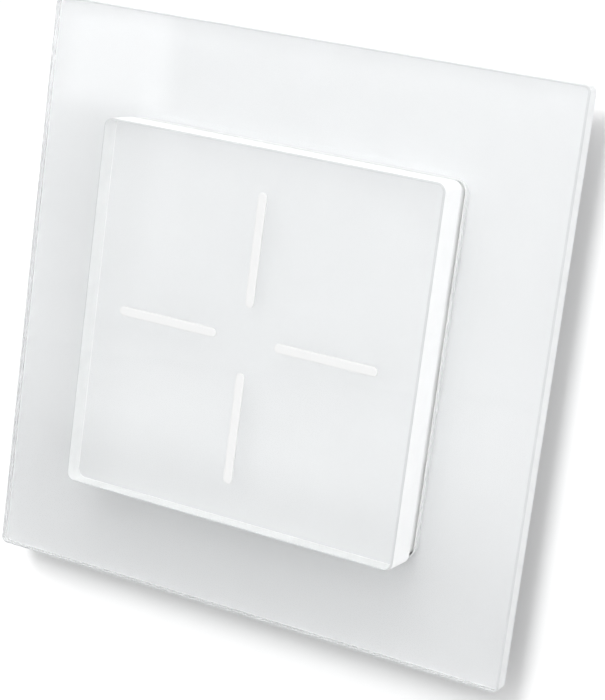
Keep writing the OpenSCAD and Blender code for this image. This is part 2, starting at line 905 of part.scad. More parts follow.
// A drum core: two flanges and a wound waist
module choke() {
  y1 = power_y1 + tall_h - 3.2;
  color([0.2, 0.2, 0.2]) {
    rod(choke_x, upper_z, power_y1, power_y1 + 1.2, choke_r);
    rod(choke_x, upper_z, power_y1 + 1.2, y1 - 1.2, choke_r * 0.8);
    rod(choke_x, upper_z, y1 - 1.2, y1, choke_r);
  }
}

module power_chips() {
  color([0.1, 0.1, 0.1]) {
    box([-11, power_y - 2.4, -12], [-6, power_y, -8]);
    box([4, power_y - 1.5, -12], [9, power_y, -8]);
    box([-11, power_y - 0.6, -4], [-9.4, power_y, -3.2]);
    box([-7, power_y - 0.6, -4], [-5.4, power_y, -3.2]);
    box([5, power_y - 0.6, -4], [6.6, power_y, -3.2]);
  }
}

// Places the children at one terminal: -1 left, 0 middle, 1 right
module at_pole(i) {
  translate([i * pole_pitch, 0, pole_z])
    children();
}

// Three pole bodies side by side, each with a room for the clamp, a screw well and a wire entry
module terminal_block() {
  w = pole_pitch / 2 - seat_gap;
  room = cage_room / 2;
  color([0.88, 0.88, 0.86])
    for (i = [-1 : 1])
      at_pole(i)
        difference() {
          box([-w, power_y1, block_z0 - pole_z], [w, cup_depth, block_z1 - pole_z]);
          box([-room, room_y0, -room], [room, room_y1, room]);
          rod(0, 0, room_y1 - 1, cup_depth, pole_screw_r + 0.15);
          rod(0, 0, seat_y, cup_depth + 1, 2.5);
          translate([0, wire_y, block_z0 - pole_z - 1])
            cylinder(h = 4, r = wire_r);
          box([-1.3, bar_y0 - 0.1, 0], [1.3, bar_y1 + 0.1, 10]);
        }
}

// Bent brass strips from the clamps to the board
module terminal_bars() {
  z1 = bar_z - pole_z;
  color([0.8, 0.65, 0.3])
    for (i = [-1 : 1])
      at_pole(i) {
        box([-1.2, bar_y0, -2.3], [1.2, bar_y1, z1 + bar_t]);
        box([-1.2, power_y1, z1], [1.2, bar_y1, z1 + bar_t]);
      }
}

// A square cage: floor, two sides and a tapped roof
module terminal_clamp(i) {
  h = cage_w / 2;
  color([0.82, 0.7, 0.4])
    at_pole(i)
      difference() {
        box([-h, cage_y0, -h], [h, cage_y1, h]);
        box([cage_wall - h, cage_y0 + cage_floor_t, -h - 1], [h - cage_wall, cage_roof_y0, h + 1]);
        rod(0, 0, cage_roof_y0 - 1, cage_y1 + 1, pole_screw_r + 0.1);
      }
}

module terminal_clamp_left() {
  terminal_clamp(-1);
}

module terminal_clamp_middle() {
  terminal_clamp(0);
}

module terminal_clamp_right() {
  terminal_clamp(1);
}

// A slotted screw whose tip bears on the bar
module terminal_screw(i) {
  color([0.78, 0.76, 0.7])
    at_pole(i)
      difference() {
        union() {
          rod(0, 0, bar_y1 + seat_gap, seat_y, pole_screw_r);
          rod(0, 0, seat_y, seat_y + 1.5, 2.3);
        }
        translate([0, seat_y + 1.5, 0])
          cube([6, 1.6, 0.7], center = true);
      }
}

module terminal_screw_left() {
  terminal_screw(-1);
}

module terminal_screw_middle() {
  terminal_screw(0);
}

module terminal_screw_right() {
  terminal_screw(1);
}

frame_glass();
frame_film();
frame_carrier();
touch_glass();
touch_film();
touch_marks();
touch_carrier();
sensor_board();
touch_pads();
touch_controller();
sensor_passives();
plug_body();
plug_pins();
sensor_cover();
grip_springs();
support_ring();
claw_pins();
left_claw();
right_claw();
left_claw_screw();
right_claw_screw();
insert_housing();
insert_lid();
housing_screws();
power_board();
board_socket();
relay_base();
relay_yoke();
relay_core();
relay_bobbin();
relay_coil();
relay_contacts();
relay_cover();
relay_armature();
relay_leaf();
film_capacitor();
smoothing_capacitors();
varistor();
fuse();
choke();
power_chips();
terminal_block();
terminal_bars();
terminal_clamp_left();
terminal_clamp_middle();
terminal_clamp_right();
terminal_screw_left();
terminal_screw_middle();
terminal_screw_right();
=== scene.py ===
# %% [markdown]
# # A touch light switch in white glass
# A square glass frame lies on the wall, and a thick glass block stands proud of its middle.
# Four enamel strokes on the block show where a finger switches the light.
# The solids of the switch come in as a fixed frame. This lesson gives them polished glass, threaded
# screws, soft moulded edges and finishes, and then lights them like a small product photograph.

# %% Load the solids
import json
import math

import bmesh
import bpy
import numpy as np
from mathutils import Matrix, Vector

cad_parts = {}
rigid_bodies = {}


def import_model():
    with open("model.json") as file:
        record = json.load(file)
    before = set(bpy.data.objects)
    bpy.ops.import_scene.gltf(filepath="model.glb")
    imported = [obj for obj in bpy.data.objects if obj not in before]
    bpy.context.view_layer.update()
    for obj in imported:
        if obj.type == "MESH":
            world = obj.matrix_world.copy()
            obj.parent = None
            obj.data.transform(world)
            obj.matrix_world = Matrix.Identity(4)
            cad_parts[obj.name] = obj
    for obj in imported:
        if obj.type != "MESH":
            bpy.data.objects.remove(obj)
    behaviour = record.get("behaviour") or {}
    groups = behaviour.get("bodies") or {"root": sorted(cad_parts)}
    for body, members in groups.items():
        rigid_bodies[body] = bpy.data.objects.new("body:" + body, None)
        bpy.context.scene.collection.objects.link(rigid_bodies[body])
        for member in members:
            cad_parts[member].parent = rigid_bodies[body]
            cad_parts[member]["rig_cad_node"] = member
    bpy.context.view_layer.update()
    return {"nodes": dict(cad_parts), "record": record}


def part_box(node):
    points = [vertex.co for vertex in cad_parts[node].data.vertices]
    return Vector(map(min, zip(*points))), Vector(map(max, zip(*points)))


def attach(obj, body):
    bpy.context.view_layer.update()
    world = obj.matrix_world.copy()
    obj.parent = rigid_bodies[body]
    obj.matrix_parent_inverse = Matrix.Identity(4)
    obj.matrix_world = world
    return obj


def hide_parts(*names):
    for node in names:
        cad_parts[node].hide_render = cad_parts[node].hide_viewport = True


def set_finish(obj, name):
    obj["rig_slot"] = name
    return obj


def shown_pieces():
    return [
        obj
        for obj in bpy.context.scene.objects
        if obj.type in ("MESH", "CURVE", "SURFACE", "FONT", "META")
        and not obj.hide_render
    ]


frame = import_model()
solids = frame["nodes"]
body_of_solid = {n: b for b, names in frame["record"]["behaviour"]["bodies"].items() for n in names}
slot_of_solid = {s["node"]: s["material_slot"] for s in frame["record"]["subparts"]}
scene = bpy.context.scene
scene.view_settings.view_transform = "Standard"
MM = 0.001

# %% [markdown]
# ## The camera
# The photograph looks at the switch from the right and a little above, with a long lens.
# A camera could be aimed with a Track To constraint, but the picture is also rolled a few degrees,
# so its three axes are written straight into the columns of its matrix.

# %% Place the camera
eye = (0.1456, -0.2809, 0.0666)
look_right = (0.8707, 0.4753, 0.1261)
look_up = (-0.2119, 0.1311, 0.9685)
look_back = (0.4438, -0.8700, 0.2149)
camera_data = bpy.data.cameras.new("long_lens")
camera_data.sensor_width, camera_data.lens = 36.0, 112.67
camera = bpy.data.objects.new("camera", camera_data)
camera.matrix_world = Matrix(
    [(look_right[i], look_up[i], look_back[i], eye[i]) for i in range(3)] + [(0, 0, 0, 1)])
scene.collection.objects.link(camera)
scene.camera = camera
print("camera", round(math.dist(eye, (0, 0, 0)) / MM), "mm from the middle of the switch")

# %% [markdown]
# ## From arrays to meshes
# Every new piece below is a grid of points worked out with numpy. One helper joins the rows of a grid
# with four-sided faces, and one makes the mesh. Which way the faces point follows from the signed volume:
# a sixth of the sum of a . (b x c) over all triangles is negative when a closed shape is inside out.

# %% Grid and mesh helpers
SAME_POINT = 1e-7


def grid_faces(rows, columns, closed_rows=False, first=0):
    """Four-sided faces between neighbouring rows of a grid whose columns close on themselves."""
    row = np.arange(rows if closed_rows else rows - 1)[:, None]
    column = np.arange(columns)[None, :]
    nearby, across = (row + 1) % rows, (column + 1) % columns
    corners = [row * columns + column, row * columns + across,
               nearby * columns + across, nearby * columns + column]
    return np.stack(np.broadcast_arrays(*corners), -1).reshape(-1, 4) + first


def signed_volume(points, faces):
    """A sixth of the sum of a . (b x c) over the triangles of every face, fanned from its first corner."""
    total = 0.0
    for group in faces:
        a = points[group[:, :1]]
        b, c = points[group[:, 1:-1]], points[group[:, 2:]]
        total += float((a * np.cross(b, c)).sum()) / 6
    return total


def make_piece(name, points, faces, normals=None, merge=False):
    """Makes a closed mesh object from points in millimetres and arrays of faces, turned outwards."""
    points = np.asarray(points, float).reshape(-1, 3) * MM
    if signed_volume(points, faces) < 0:
        faces = [group[:, ::-1] for group in faces]
    mesh = bpy.data.meshes.new(name)
    mesh.from_pydata(points.tolist(), [], [f for group in faces for f in group.tolist()])
    mesh.shade_smooth()
    if normals is not None:
        mesh.normals_split_custom_set_from_vertices(np.asarray(normals, float).reshape(-1, 3).tolist())
    if merge:
        work = bmesh.new()
        work.from_mesh(mesh)
        bmesh.ops.remove_doubles(work, verts=work.verts, dist=SAME_POINT)
        work.to_mesh(mesh)
        work.free()
    piece = bpy.data.objects.new(name, mesh)
    scene.collection.objects.link(piece)
    print(name, len(mesh.polygons), "faces")
    return piece


def stands_for(piece, *names):
    """The piece rides on the body of the solids it replaces and takes their record slot."""
    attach(piece, body_of_solid[names[0]])
    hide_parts(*names)
    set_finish(piece, slot_of_solid[names[0]])
    return piece


# %% [markdown]
# ## The edge of a glass plate
# Cut glass is ground along its edges so that it can be touched. On this switch the edge is a small round.
# A Bevel modifier could make it, but its shading drifts on large flat faces, and glass shows every fault.
# Here the round is a quarter circle with its exact normals.

# %% Outline and edge profile
CORNER_STEPS, ROUND_STEPS = 12, 6
OUTLINE_POINTS = 4 * (CORNER_STEPS + 1)


def round_square(side, radius):
    """Points and outward normals of a square with round corners, in x and z.
    Each corner is a quarter circle: its centre plus the radius times (cos, sin) of the angle."""
    angle = np.pi / 2 * (np.arange(4)[:, None] + np.linspace(0, 1, CORNER_STEPS + 1)[None, :])
    outward = np.stack([np.cos(angle), np.sin(angle)], -1)
    centre = (side / 2 - radius) * np.sign(outward[:, CORNER_STEPS // 2])[:, None, :]
    return (centre + radius * outward).reshape(-1, 2), outward.reshape(-1, 2)


def edge_profile(front, back, front_round, back_round):
    """Inset, depth and slope along a plate's edge: a quarter circle, the straight wall, a quarter circle.
    The slope turns from 0 on the front face, through a right angle on the wall, to two on the back."""
    t = np.linspace(0, np.pi / 2, ROUND_STEPS + 1)
    inset = np.concatenate([front_round * (1 - np.sin(t)), back_round * (1 - np.cos(t))])
    depth = np.concatenate([front + front_round * (1 - np.cos(t)), back - back_round * (1 - np.sin(t))])
    return inset, depth, np.concatenate([t, t + np.pi / 2])


def carried_round(outline, outward, profile, side=1):
    """Carries an edge profile round an outline: point minus inset times normal, at the profile's depth."""
    inset, depth, slope = (a[:, None] for a in profile)
    flat = outline[None] - side * inset[..., None] * outward[None]
    level = np.broadcast_to(depth, flat.shape[:2])
    tilt = side * np.sin(slope)[..., None] * outward[None]
    turn = np.broadcast_to(-np.cos(slope), flat.shape[:2])
    points = np.stack([flat[..., 0], level, flat[..., 1]], -1)
    return points, np.stack([tilt[..., 0], turn, tilt[..., 1]], -1)


print("outline points per plate", OUTLINE_POINTS)

# %% [markdown]
# ## The touch block
# The block is a thick square of clear glass with a white coat on its back. Both are plates: an edge profile
# is carried once round the square, and two many-sided faces close the front and the back. The coat is bonded
# to the glass, so the glass reaches a hair into it: two faces in one plane would flicker, and a gap of air
# would shine.

# %% Build the touch block
def solid_size(name):
    """Lowest and highest corner of a solid, in millimetres."""
    low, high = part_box(name)
    return np.array(low) / MM, np.array(high) / MM


def square_plate(name, side, corner, *profile):
    """A closed plate: its edge profile carried round a square outline, with a face at each end."""
    points, normals = carried_round(*round_square(side, corner), edge_profile(*profile))
    rows, columns = points.shape[:2]
    ends = np.stack([np.arange(columns)[::-1], np.arange(columns) + (rows - 1) * columns])
    return make_piece(name, points, [grid_faces(rows, columns), ends], normals)


EDGE_ROUND, FINE_ROUND, BOND, COAT_MARGIN, BLOCK_CORNER = 0.28, 0.06, 0.02, 0.05, 1.3
block_low, block_high = solid_size("touch_glass")
block_side = block_high[0] - block_low[0]
touch_block = square_plate("touch_block_glass", block_side, BLOCK_CORNER,
                           block_low[1], block_high[1] + BOND, EDGE_ROUND, FINE_ROUND)
stands_for(touch_block, "touch_glass")
touch_coat = square_plate("touch_back_coat", block_side - 2 * COAT_MARGIN, BLOCK_CORNER - COAT_MARGIN,
                          block_high[1], solid_size("touch_film")[1][1], FINE_ROUND, FINE_ROUND)
stands_for(touch_coat, "touch_film")

# %% [markdown]
# ## The frame glass
# The frame is a thinner plate with a square opening, and it has its own white coat. The outer edge and the
# edge of the opening are two profiles on two outlines with the same number of points, so the whole plate is
# one closed grid: out over the front, round the rim, back along the rear face and up through the opening.

# %% Build the frame glass
def open_plate(name, side, corner, opening, lip_corner, front, back, rim_rounds, lip_rounds):
    """A closed grid: the rim's profile from front to back, then the lip's profile from back to front."""
    rim = carried_round(*round_square(side, corner), edge_profile(front, back, *rim_rounds))
    lip_profile = tuple(a[::-1] for a in edge_profile(front, back, *lip_rounds))
    lip = carried_round(*round_square(opening, lip_corner), lip_profile, side=-1)
    points, normals = (np.concatenate(pair) for pair in zip(rim, lip))
    return make_piece(name, points, [grid_faces(*points.shape[:2], closed_rows=True)], normals)


plate_low, plate_high = solid_size("frame_glass")
plate_side = plate_high[0] - plate_low[0]
FRAME_CORNER, OPENING_SIDE, LIP_CORNER, LIP_ROUND = 1.0, 54.4, 1.6, 0.25
frame_plate = open_plate("frame_plate_glass", plate_side, FRAME_CORNER, OPENING_SIDE, LIP_CORNER, plate_low[1],
                         plate_high[1] + BOND, (EDGE_ROUND, EDGE_ROUND), (LIP_ROUND, FINE_ROUND))
stands_for(frame_plate, "frame_glass")
frame_coat = open_plate("frame_back_coat", plate_side - 2 * COAT_MARGIN, FRAME_CORNER - COAT_MARGIN,
                        OPENING_SIDE + 2 * COAT_MARGIN, LIP_CORNER + COAT_MARGIN, plate_high[1],
                        solid_size("frame_film")[1][1], (FINE_ROUND,) * 2, (FINE_ROUND,) * 2)
stands_for(frame_coat, "frame_film")

# %% [markdown]
# ## The enamel strokes
# Each stroke is a line of white enamel fired into a shallow pocket of the glass. Enamel draws itself into
# a low dome with round shoulders. The stroke is a spine with a distance and a height: rows of the grid step
# inwards from the edge to the spine, and the height follows a quarter of an ellipse.

# %% Build the four strokes
STROKE_LENGTH, STROKE_WIDTH, STROKE_START, STROKE_RISE, STROKE_FOOT = 16.5, 1.4, 4.8, 0.05, 0.25


def stroke_grid(length, width, front, rise, depth, end_points=13, dome_rows=9):
    """Rows from the foot in the glass, up the wall and over the dome to the spine.
    A point is its end of the spine plus distance times (cos, sin); height is rise times the
    square root of 1 - (distance / half width) to the fourth."""
    angle = np.linspace(-np.pi / 2, np.pi / 2, end_points)
    angle = np.concatenate([angle, angle + np.pi])
    spine = (length - width) / 2 * np.repeat([1.0, -1.0], end_points)
    share = np.concatenate([[1.0], np.sin(np.linspace(np.pi / 2, 0, dome_rows))])[:, None]
    height = rise * np.sqrt(1 - share ** 4)
    height[0] = -depth
    reach = width / 2 * share
    across = spine[None] + reach * np.cos(angle)[None]
    return np.stack([across, np.broadcast_to(front - height, across.shape),
                     reach * np.sin(angle)[None]], -1)


one_stroke = stroke_grid(STROKE_LENGTH, STROKE_WIDTH, block_low[1], STROKE_RISE, STROKE_FOOT)
one_stroke[..., 0] += STROKE_START + STROKE_LENGTH / 2
rows, columns = one_stroke.shape[:2]
stroke_points, stroke_faces = [], []
for quarter in range(4):
    c, s = math.cos(quarter * math.pi / 2), math.sin(quarter * math.pi / 2)
    stroke_points.append(one_stroke @ np.array([[c, 0, s], [0, 1, 0], [-s, 0, c]]))
    first = quarter * rows * columns
    stroke_faces += [grid_faces(rows, columns, first=first), first + np.arange(columns)[None, ::-1]]
strokes = make_piece("enamel_strokes", np.stack(stroke_points), stroke_faces, merge=True)
strokes.visible_shadow = False
stands_for(strokes, "touch_marks")

# %% [markdown]
# ## Threaded screws
# The solids carry plain shanks. A real thread is a ridge that climbs once per turn, which is one formula:
# the radius depends on the height over the pitch minus the angle over a full turn. The recess for the
# driver is a second formula, a depth over the round top of the head.

# %% The screw surface
SOFT_SHARE, RECESS_SHARE, GROOVE_SHARE, CLAW_SHANK = 0.3, 0.55, 0.17, 1.45


def ramp(distance, softness=0.1):
    """0 outside, 1 inside, straight across the softness."""
    return np.clip(distance / softness + 0.5, 0, 1)


def cross_recess(x, z, half=0.34, arm=1.55):
    """1 inside two crossed bars, given half the width of a bar and the length of an arm."""
    return np.maximum(ramp(half - abs(x)) * ramp(arm - abs(z)), ramp(half - abs(z)) * ramp(arm - abs(x)))


def slot_recess(x, z, half=0.38):
    """1 inside one straight slot, given half its width."""
    return ramp(half - abs(z)) + 0 * x


def screw_grid(length, head_r, head_h, shank_r, pitch, recess, points_round=96):
    """Radius and height of a screw, from the middle of its head over the rim and down the thread to its tip.
    The thread's radius is the shank's, less a groove by how far height / pitch - angle / turn
    is from a crest. The rim's round and the recess are shares of the head's height."""
    angle = np.linspace(0, 2 * np.pi, points_round, endpoint=False)[None, :]
    soft = SOFT_SHARE * head_h
    reach = np.linspace(0.03, 1, 34)[:, None] * (head_r - soft)
    top = 0.35 * soft * (reach / head_r) ** 2 + 0 * angle
    top = top + RECESS_SHARE * head_h * recess(reach * np.cos(angle), reach * np.sin(angle))
    bend = np.linspace(0, np.pi / 2, 7)[:, None]
    rim_r = head_r - soft * (1 - np.sin(bend))
    rim_h = 0.3 * soft + soft * (1 - np.cos(bend))
    height = np.arange(head_h + 0.1, length - shank_r, pitch / 10)[:, None]
    crest = np.clip(1.5 * abs((height / pitch - angle / (2 * np.pi)) % 1 * 2 - 1) - 0.25, 0, 1)
    fade = np.clip((height - head_h) / pitch, 0, 1)
    thread_r = shank_r * (1 - GROOVE_SHARE * (1 - crest) * fade)
    under_r, under_h = np.array([[head_r], [shank_r]]), np.array([[head_h], [head_h]])
    tip_r, tip_h = shank_r * np.array([[0.7], [0.4]]), np.array([[length - 0.3 * shank_r], [length]])
    radius = [reach, rim_r, under_r, thread_r, tip_r]
    depth = [top, rim_h, under_h, height, tip_h]
    radius, depth = (np.concatenate([p + 0 * angle for p in parts]) for parts in (radius, depth))
    return radius, depth, angle + np.zeros((len(radius), 1))


def screw_points(x, z, head_y, facing, **sizes):
    """A screw grid set at x and z, with the top of its head at head_y and its tip along facing."""
    radius, depth, angle = screw_grid(**sizes)
    points = np.stack([x + radius * np.cos(angle), head_y + facing * depth, z + radius * np.sin(angle)], -1)
    rows, columns = radius.shape
    ends = np.array([[x, points[0, :, 1].mean(), z], [x, points[-1, 0, 1], z]])
    ring = np.arange(columns)
    last = (rows - 1) * columns
    head_fan = np.stack([ring, np.full(columns, rows * columns), (ring + 1) % columns], -1)
    tip_fan = np.stack([last + ring, last + (ring + 1) % columns, np.full(columns, rows * columns + 1)], -1)
    return np.concatenate([points.reshape(-1, 3), ends]), [grid_faces(rows, columns), head_fan, tip_fan]


def sharpen(piece, degrees=32):
    """Keeps edges sharp where two faces meet at more than this angle."""
    piece.data.set_sharp_from_angle(angle=math.radians(degrees))


print("grooves are", round(GROOVE_SHARE * CLAW_SHANK, 2), "mm deep on the claw screws")

# %% Build the claw and terminal screws
for side in ("left", "right"):
    low, high = solid_size(side + "_claw_screw")
    middle = (low + high) / 2
    made = screw_points(middle[0], middle[2], low[1], 1, length=high[1] - low[1], head_r=2.6,
                        head_h=1.6, shank_r=CLAW_SHANK, pitch=0.7, recess=cross_recess)
    screw = make_piece(side + "_spreader_screw", *made)
    sharpen(screw)
    stands_for(screw, side + "_claw_screw")

for side in ("left", "middle", "right"):
    low, high = solid_size("terminal_screw_" + side)
    middle = (low + high) / 2
    made = screw_points(middle[0], middle[2], high[1], -1, length=high[1] - low[1], head_r=2.3,
                        head_h=1.5, shank_r=1.2, pitch=0.5, recess=slot_recess)
    screw = make_piece("wire_screw_" + side, *made)
    sharpen(screw)
    stands_for(screw, "terminal_screw_" + side)

# %% Build the four case screws
CASE_HEAD = 2.1
low, high = solid_size("housing_screws")
case_points, case_faces = [], []
for x in (low[0] + CASE_HEAD, high[0] - CASE_HEAD):
    for z in (low[2] + CASE_HEAD, high[2] - CASE_HEAD):
        points, faces = screw_points(x, z, low[1], 1, length=high[1] - low[1], head_r=CASE_HEAD, head_h=1.2,
                                     shank_r=1.1, pitch=0.9, recess=cross_recess, points_round=72)
        first = sum(len(p) for p in case_points)
        case_points.append(points)
        case_faces += [group + first for group in faces]
case_screws = make_piece("case_screws", np.concatenate(case_points), case_faces)
sharpen(case_screws)
stands_for(case_screws, "housing_screws")

# %% [markdown]
# ## Soft edges on moulded and pressed parts
# No moulded or pressed edge is perfectly sharp: the tool leaves a small round that catches the light.
# The solids are loose triangles, so a copy of each is merged, and a Bevel modifier rounds its hard edges.

# %% Round the edges of the larger solids
SAME_CORNER, FLAT_DEGREES = 2e-6, 0.5


def soft_edged(name, width, degrees=40):
    """A merged copy of a solid with its hard edges rounded by a bevel of the given width in millimetres."""
    mesh = solids[name].data.copy()
    work = bmesh.new()
    work.from_mesh(mesh)
    bmesh.ops.remove_doubles(work, verts=work.verts, dist=SAME_CORNER)
    bmesh.ops.dissolve_limit(work, angle_limit=math.radians(FLAT_DEGREES), verts=work.verts, edges=work.edges)
    work.to_mesh(mesh)
    work.free()
    mesh.shade_smooth()
    mesh.set_sharp_from_angle(angle=math.radians(degrees))
    piece = bpy.data.objects.new(name + "_soft", mesh)
    scene.collection.objects.link(piece)
    bevel = piece.modifiers.new("round", "BEVEL")
    bevel.width, bevel.segments = width * MM, 2
    bevel.limit_method, bevel.angle_limit = "ANGLE", math.radians(degrees)
    bevel.harden_normals = True
    return stands_for(piece, name)


soft_pieces = {name: soft_edged(name, width) for name, width in {
    "frame_carrier": 0.25, "touch_carrier": 0.25, "sensor_cover": 0.2, "support_ring": 0.15,
    "insert_housing": 0.25, "insert_lid": 0.2, "terminal_block": 0.2,
    "left_claw": 0.12, "right_claw": 0.12}.items()}
print("rounded", len(soft_pieces), "solids")

# %% [markdown]
# ## Shader maths in Python
# A procedural finish is a formula over the surface. Written node by node it is hard to read, so one small
# class wraps a socket: arithmetic on it adds Math nodes, and one method adds any other node.

# %% The Wire class
class Wire:
    """A socket of a node tree. + - * / on it and numbers add Math nodes."""

    def __init__(self, tree, socket=None):
        self.tree, self.socket = tree, socket

    def node(self, kind, settings=None, sockets=None, out=0):
        """Adds a node: its settings first, then the values or links of its sockets. Returns one output."""
        made = self.tree.nodes.new("ShaderNode" + kind)
        for key, value in (settings or {}).items():
            setattr(made, key, value)
        for key, value in (sockets or {}).items():
            if isinstance(value, Wire):
                self.tree.links.new(value.socket, made.inputs[key])
            else:
                made.inputs[key].default_value = value
        return Wire(self.tree, made.outputs[out] if len(made.outputs) else None)

    def math(self, operation, a, b=0.0):
        """One Math node on one or two values."""
        return self.node("Math", {"operation": operation}, {0: a, 1: b})

    def __add__(self, other):
        return self.math("ADD", self, other)

    def __sub__(self, other):
        return self.math("SUBTRACT", self, other)

    def __rsub__(self, other):
        return self.math("SUBTRACT", other, self)

    def __mul__(self, other):
        return self.math("MULTIPLY", self, other)

    def __truediv__(self, other):
        return self.math("DIVIDE", self, other)

    def __gt__(self, other):
        return self.math("GREATER_THAN", self, other)

    def __lt__(self, other):
        return self.math("LESS_THAN", self, other)

    __radd__, __rmul__ = __add__, __mul__

    def smooth(self, low, high):
        """0 at low, 1 at high, with a soft start and end."""
        return self.node("MapRange", {"interpolation_type": "SMOOTHSTEP"},
                         {"Value": self, "From Min": low, "From Max": high})

    def blend(self, first, second):
        """Mixes two colours by this value."""
        return self.node("Mix", {"data_type": "RGBA"}, {0: self, 6: first, 7: second}, out=2)


def place(wire, scale=(1, 1, 1), turn=(0, 0, 0)):
    """The surface's own coordinates in millimetres, stretched or turned by a Mapping node."""
    spot = wire.node("TexCoord", out="Object")
    return wire.node("Mapping", None, {"Vector": spot, "Rotation": turn,
                                       "Scale": [s / MM for s in scale]})


def noise(wire, spot, scale, detail=2.0):
    """Soft cloud between 0 and 1; the scale is in clouds per millimetre."""
    return wire.node("TexNoise", None, {"Vector": spot, "Scale": scale, "Detail": detail})


def parts_of(wire, vector):
    """The x, y and z of a vector."""
    split = wire.node("SeparateXYZ", None, {"Vector": vector}).socket.node
    return [Wire(wire.tree, split.outputs[i]) for i in range(3)]


print("values, colours and vectors each have their own nodes")

# %% [markdown]
# ## One surface shader per finish
# Each finish is a Principled shader. What is the same all over is set on its sockets as plain numbers;
# what changes over the surface is linked: the colour, the roughness, the metal mask or the bump.

# %% Start and close a finish
finishes = {}
BLACK, WHITE = (0, 0, 0, 1), (1, 1, 1, 1)


def new_finish(name):
    """An empty material, entered in the list of finishes, and a wire to build it with."""
    material = finishes[name] = bpy.data.materials.new(name)
    material.use_nodes = True
    material.node_tree.nodes.clear()
    return Wire(material.node_tree)


def close_finish(wire, shader):
    """Links the shader to the surface."""
    wire.node("OutputMaterial", None, {"Surface": shader})


def rgb(colour, share=1.0):
    """A colour for a socket, made darker or lighter by a share but never above 1."""
    return (*(min(1, share * c) for c in colour), 1.0)


def bump(wire, height, distance_mm):
    """Tilts the surface as if it rose by the height times the distance."""
    return wire.node("Bump", None, {"Height": height, "Distance": distance_mm * MM}, out="Normal")


print("a finish starts with an empty material and ends with its surface")

# %% [markdown]
# ## Clear glass
# Real glass bends light, so it is a transmitting Principled shader. A ray tracer finds it hard to bring lamp
# light through bent glass, so rays on their way to a lamp see a clear shader instead: the white coating
# behind the glass is then lit evenly. Wiped glass is never quite even, so the gloss has faint cloudy smears.

# %% Glass
GLASS_INDEX = 1.5


def close_glass(wire, shader, tint):
    """Rays on their way to a lamp pass straight through and take the tint. All others meet the shader."""
    passing = wire.node("BsdfTransparent", None, {"Color": rgb(tint)})
    lamp_ray = wire.node("LightPath", out="Is Shadow Ray")
    close_finish(wire, wire.node("MixShader", None, {0: lamp_ray, 1: shader, 2: passing}))


def clear_glass(name, body, smear_scale):
    """Polished glass with its body colour and smears of so many clouds per millimetre."""
    wire = new_finish(name)
    smear = noise(wire, place(wire), smear_scale, 3.0).smooth(0.45, 0.75)
    shader = wire.node("BsdfPrincipled", None, {
        "Base Color": rgb(body), "Roughness": 0.005 + 0.03 * smear, "IOR": GLASS_INDEX,
        "Transmission Weight": 1.0})
    close_glass(wire, shader, (0.9, 0.91, 0.905))


clear_glass("frame_glass", (0.985, 0.995, 0.992), 0.05)
clear_glass("touch_glass", (0.98, 0.992, 0.988), 0.06)
print("clear glass ready")

# %% [markdown]
# ## Ground edges
# The walls of the plates and the lip of the opening are cut and ground. Ground glass scatters light, so they
# look white. From inside the glass the same wall lets more light pass, so each ground finish has two shaders,
# and the side that a ray comes from picks one. The small rounds in front are seamed, and their grey colour is
# painted shade: it draws a fine dark line round each plate, where the edge of the glass looks dark.

# %% Ground glass
def ground_glass(name, colour, scatter, inner_scatter):
    """Ground glass with the share of its light that it scatters, from outside and from inside the plate."""
    wire = new_finish(name)
    spot = place(wire)
    grit = noise(wire, spot, 6.0, 2.0)
    cloud = noise(wire, spot, 0.35, 3.0)
    tint = cloud.smooth(0.3, 0.7).blend(rgb(colour, 0.97), rgb(colour))
    outside, inside = (
        wire.node("BsdfPrincipled", None, {
            "Base Color": tint, "Roughness": 0.42 + 0.2 * grit, "IOR": GLASS_INDEX,
            "Transmission Weight": 1 - share, "Normal": bump(wire, grit, 0.01)})
        for share in (scatter, inner_scatter))
    from_inside = wire.node("NewGeometry", out="Backfacing")
    shader = wire.node("MixShader", None, {0: from_inside, 1: outside, 2: inside})
    close_glass(wire, shader, (0.85, 0.855, 0.855))


ground_glass("ground_edge", (0.965, 0.97, 0.97), 0.9, 0.7)
ground_glass("frame_edge", (0.8, 0.81, 0.81), 0.5, 0.2)
ground_glass("lip_edge", (0.93, 0.935, 0.935), 0.95, 0.7)
# painted shade: the grey of the seamed rounds draws a dark line round each plate
ground_glass("seamed_edge_painted_shade", (0.62, 0.63, 0.635), 0.6, 0.3)
print("ground glass ready")

# %% [markdown]
# ## White coating and enamel
# The white of the switch is a coat on the back of the glass. It is printed, so it is a little mottled and has
# the faint grain of the screen. Shade is painted into the coats too: they are a shade greyer low down and, on
# the block, at the left. The strokes are white in front of the glass, and fired smooth.

# %% Coating and enamel
def white_coat(name, colour, painted_shade_rows, screen_mm=0.12):
    """Each row of painted shade names an axis (0 for x, 2 for z), where on it the painted shade begins and
    where it is darkest, in millimetres, and the share of the white that it takes away there."""
    wire = new_finish(name)
    spot = place(wire)
    axes = parts_of(wire, spot)
    # painted shade: the coat's white is blended towards black along each listed axis
    painted_shade = sum(shade_share * axes[axis].smooth(start, end) for axis, start, end, shade_share in painted_shade_rows)
    cloud = noise(wire, spot, 0.09, 3.0)
    grain = noise(wire, spot, 1 / screen_mm, 1.0)
    tint = cloud.smooth(0.3, 0.7).blend(rgb(colour, 0.985), rgb(colour))
    shader = wire.node("BsdfPrincipled", None, {
        "Base Color": painted_shade.blend(tint, BLACK), "Roughness": 0.42 + 0.12 * grain,
        "Normal": bump(wire, grain, 0.004)})
    close_finish(wire, shader)


def fired_enamel(name, colour):
    """Smooth white with the faint orange peel of the kiln and a thin gloss."""
    wire = new_finish(name)
    spot = place(wire)
    peel = noise(wire, spot, 0.9, 1.0)
    tint = noise(wire, spot, 0.4).blend(rgb(colour), rgb(colour, 0.97))
    shader = wire.node("BsdfPrincipled", None, {
        "Base Color": tint, "Roughness": 0.3 + 0.15 * peel, "Coat Weight": 0.3,
        "Normal": bump(wire, peel, 0.002)})
    close_finish(wire, shader)
